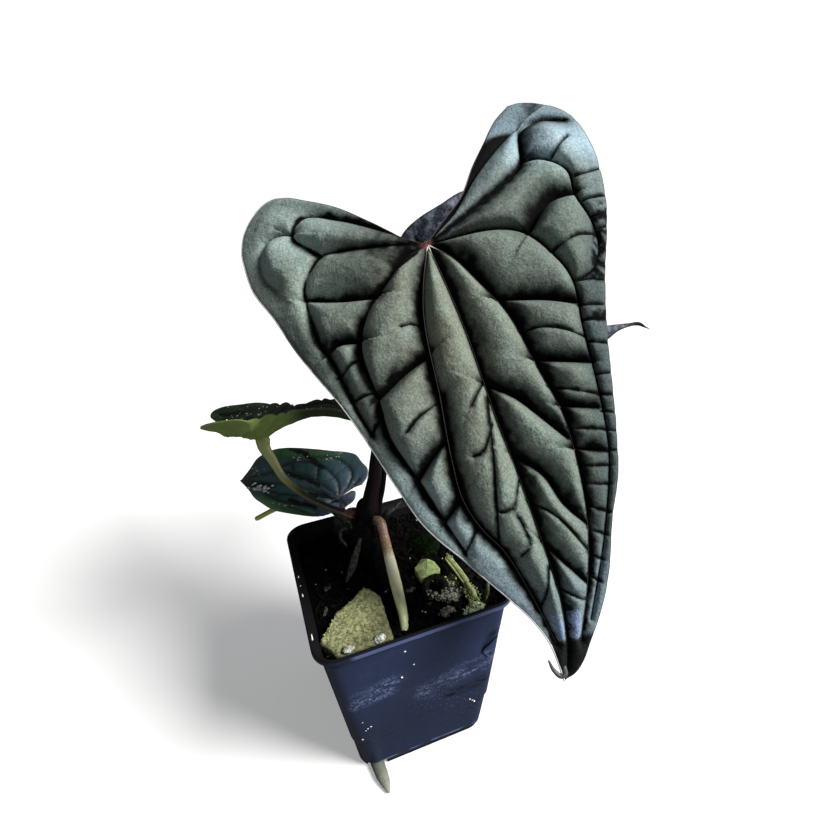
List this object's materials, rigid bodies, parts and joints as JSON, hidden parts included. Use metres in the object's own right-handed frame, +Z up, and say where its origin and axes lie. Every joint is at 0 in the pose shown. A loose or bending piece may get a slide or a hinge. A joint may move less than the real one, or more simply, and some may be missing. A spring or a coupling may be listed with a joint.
{
  "type": "potted anthurium hybrid",
  "caption": "Young aroid in a square tapered nursery pot of bark mix, with a large quilted heart-shaped leaf on a tall petiole and smaller heart-shaped leaves behind and beside it.",
  "frame": {"origin": "centre of the pot's underside, on the surface that it stands on", "axes": "+Z up out of the pot; X and Y square to the pot's walls; the large leaf leans over the front right, towards +X and -Y"},
  "size_m": [0.2203, 0.1682, 0.287],
  "materials": {
    "pot_plastic": "dark navy injection-moulded plastic, half gloss, scuffed",
    "bark_mix": "damp dark bark, fibre and grit",
    "stem_skin": "dark maroon, ridged, half gloss",
    "dark_petiole": "dark maroon, smooth",
    "green_petiole": "olive green, smooth",
    "velvet_leaf": "velvety dark grey-green, quilted",
    "slate_leaf": "slate blue-green, matt",
    "green_leaf": "dark green, half gloss",
    "teal_leaf": "dark teal, glossy",
    "root_skin": "pale yellow-green to brown, matt",
    "dry_scale": "dry brown sheath",
    "pale_chunk": "granular, yellow-green, matt",
    "green_chunk": "granular, green, matt",
    "bark": "curled bark",
    "cut_stem": "split green stem",
    "grey_clump": "speckled grey-green crumb",
    "pale_crust": "pale dry crust",
    "white_grain": "expanded white mineral grain",
    "moss": "short dark moss"
  },
  "bodies": {
    "root": {"pot": "pot_plastic", "mix": "bark_mix", "stem": "stem_skin", "petiole_main": "dark_petiole", "leaf_main": "velvet_leaf", "petiole_back": "dark_petiole", "leaf_back": "slate_leaf", "petiole_left": "green_petiole", "leaf_left": "green_leaf", "petiole_small": "green_petiole", "leaf_small": "teal_leaf", "aerial_root": "root_skin", "side_root": "root_skin", "drain_root": "root_skin", "cataphyll_front": "dry_scale", "cataphyll_left": "dry_scale", "cataphyll_right": "dry_scale", "chunk_pale": "pale_chunk", "chunk_green": "green_chunk", "bark_ring": "bark", "stem_stub": "cut_stem", "clump_grey": "grey_clump", "crust_pale": "pale_crust", "pebble_grey": "grey_clump", "grain_left": "white_grain", "grain_front": "white_grain", "moss": "moss", "shoot_green": "green_petiole"}
  },
  "joints": []
}
